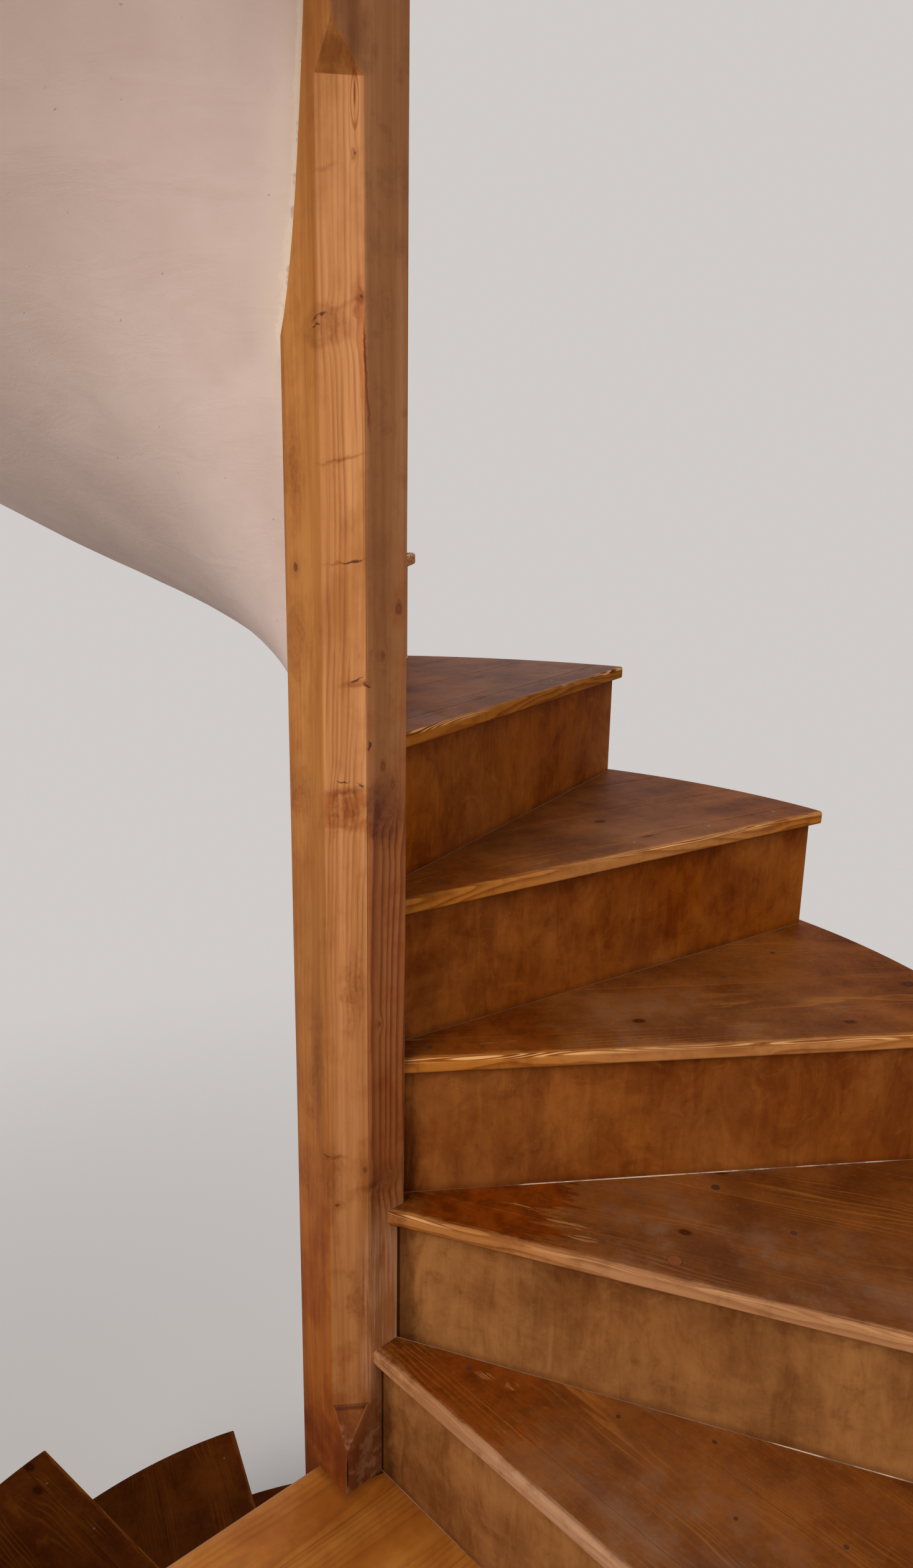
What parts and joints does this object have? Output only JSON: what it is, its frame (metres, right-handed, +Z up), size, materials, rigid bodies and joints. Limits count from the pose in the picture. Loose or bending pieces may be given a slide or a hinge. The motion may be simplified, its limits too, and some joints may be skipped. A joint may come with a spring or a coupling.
{
  "type": "winder staircase",
  "caption": "Timber winder stair round a square chamfered newel, with closed risers, a quarter landing in each turn and a smooth plastered soffit.",
  "frame": {"origin": "centre of the square newel's foot, on the lower floor", "axes": "+Z up along the newel; -Y is the way that the newel's chamfered corner and the middle of both landings face; the stair climbs anticlockwise seen from above"},
  "size_m": [1.83, 1.83, 4.385],
  "materials": {
    "newel_pine": "warm oiled softwood, satin",
    "tread_pine": "dark stained pine, worn paler on the nosings",
    "riser_ply": "stained birch plywood, satin",
    "landing_pine": "orange-brown varnished pine",
    "joist_timber": "bare sawn softwood",
    "plaster": "smooth matt white plaster"
  },
  "bodies": {
    "root": {"newel_post": "newel_pine", "lower_riser_1": "riser_ply", "lower_riser_2": "riser_ply", "lower_riser_3": "riser_ply", "lower_riser_4": "riser_ply", "lower_riser_5": "riser_ply", "lower_riser_6": "riser_ply", "lower_tread_1": "tread_pine", "lower_tread_2": "tread_pine", "lower_tread_3": "tread_pine", "lower_tread_4": "tread_pine", "lower_tread_5": "tread_pine", "landing_nosing": "landing_pine", "landing_floor": "landing_pine", "landing_frame": "joist_timber", "upper_riser_1": "riser_ply", "upper_riser_2": "riser_ply", "upper_riser_3": "riser_ply", "upper_riser_4": "riser_ply", "upper_riser_5": "riser_ply", "upper_riser_6": "riser_ply", "upper_riser_7": "riser_ply", "upper_riser_8": "riser_ply", "upper_riser_9": "riser_ply", "upper_riser_10": "riser_ply", "upper_riser_11": "riser_ply", "upper_tread_1": "tread_pine", "upper_tread_2": "tread_pine", "upper_tread_3": "tread_pine", "upper_tread_4": "tread_pine", "upper_tread_5": "tread_pine", "upper_tread_6": "tread_pine", "upper_tread_7": "tread_pine", "upper_tread_8": "tread_pine", "upper_tread_9": "tread_pine", "upper_tread_10": "tread_pine", "top_landing_nosing": "landing_pine", "top_landing_floor": "landing_pine", "top_landing_frame": "joist_timber", "lower_battens": "joist_timber", "upper_battens": "joist_timber", "lower_soffit": "plaster", "landing_soffit": "plaster", "upper_soffit": "plaster", "top_landing_soffit": "plaster"}
  },
  "joints": []
}
